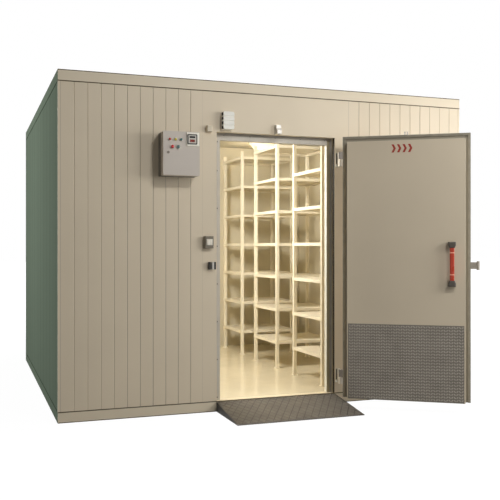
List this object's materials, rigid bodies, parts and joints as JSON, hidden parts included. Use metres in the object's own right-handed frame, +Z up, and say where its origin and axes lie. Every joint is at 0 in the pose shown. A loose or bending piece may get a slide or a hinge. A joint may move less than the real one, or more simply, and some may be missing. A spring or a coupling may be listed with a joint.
{
  "type": "walk-in cold room",
  "caption": "Walk-in cold room of ribbed insulated panels with a hinged insulated door, ramp, control box and shelving.",
  "frame": {"origin": "centre of the room's footprint, on the ground, at the underside of the middle floor panel", "axes": "+X to the right along the front, +Y from the front into the room, +Z up"},
  "size_m": [3.468, 4.1748, 2.6],
  "materials": {
    "beige_skin": "satin, ribbed steel skin",
    "green_skin": "satin, ribbed steel skin",
    "floor_skin": "smooth semi-gloss floor skin",
    "roof_skin": "satin steel skin",
    "beige_trim": "satin folded trim",
    "green_trim": "satin folded trim",
    "frame_metal": "satin anodised",
    "seal_rubber": "matte grey rubber",
    "ramp_metal": "worn checker plate",
    "checker_metal": "checker plate",
    "leaf_skin": "satin steel skin",
    "grip_red": "moulded red plastic",
    "dark_plastic": "moulded dark plastic",
    "hardware_metal": "polished zinc and steel",
    "white_plastic": "moulded white plastic",
    "grey_plastic": "moulded grey plastic",
    "box_grey": "moulded grey plastic",
    "lamp_colours": "moulded lenses, one red, one amber, one green",
    "button_colours": "moulded buttons, one red, one green",
    "shelf_paint": "powder coat",
    "lamp_bowl": "frosted, lit"
  },
  "bodies": {
    "room": {"back_wall_panels": "green_skin", "base_trim_back": "green_trim", "base_trim_front": "beige_trim", "base_trim_left": "green_trim", "base_trim_right": "green_trim", "ceiling_lamp_base": "white_plastic", "ceiling_lamp_bowl": "lamp_bowl", "closer_hook": "hardware_metal", "control_box_body": "box_grey", "corner_trims": "beige_trim", "door_head": "frame_metal", "door_jamb_left": "frame_metal", "door_jamb_right": "frame_metal", "door_panel_header": "beige_skin", "door_panel_left": "beige_skin", "door_panel_right": "beige_skin", "floor_panels": "floor_skin", "front_wall_left": "beige_skin", "front_wall_right": "beige_skin", "hinge_brackets": "hardware_metal", "latch_keeper": "dark_plastic", "left_wall_panels": "green_skin", "light_switch": "grey_plastic", "mounting_plate": "frame_metal", "ramp_plate": "ramp_metal", "ramp_ribs": "dark_plastic", "rebate_seal": "seal_rubber", "relief_valve": "white_plastic", "right_wall_panels": "green_skin", "roof_panels": "roof_skin", "shelf_posts": "shelf_paint", "shelves": "shelf_paint", "switch_rocker": "white_plastic", "threshold": "frame_metal", "top_trim_back": "green_trim", "top_trim_front": "beige_trim", "top_trim_left": "green_trim", "top_trim_right": "green_trim", "wall_cap": "beige_trim"},
    "door": {"door_leaf_panel": "leaf_skin", "door_leaf_plug": "leaf_skin", "door_leaf_gasket": "seal_rubber", "kick_plate": "checker_metal", "grip_mounts": "dark_plastic", "grip_bar": "grip_red", "latch": "hardware_metal", "latch_roller": "dark_plastic", "outer_pull": "hardware_metal", "closer": "hardware_metal", "hinge_straps": "hardware_metal"},
    "control_cover": {"control_box_cover": "box_grey", "temperature_controller": "white_plastic", "indicator_lamps": "lamp_colours", "push_buttons": "button_colours", "cover_lock": "hardware_metal"}
  },
  "joints": [
    {"name": "door_swing", "type": "hinge", "parent": "room", "child": "door", "pos_m": [0.53, -1.773, 0], "axis": [0, 0, 1], "range_deg": [-146, 29]},
    {"name": "control_cover_swing", "type": "hinge", "parent": "room", "child": "control_cover", "pos_m": [-0.693, -1.7805, 0], "axis": [0, 0, 1], "range_deg": [0, 100]}
  ]
}
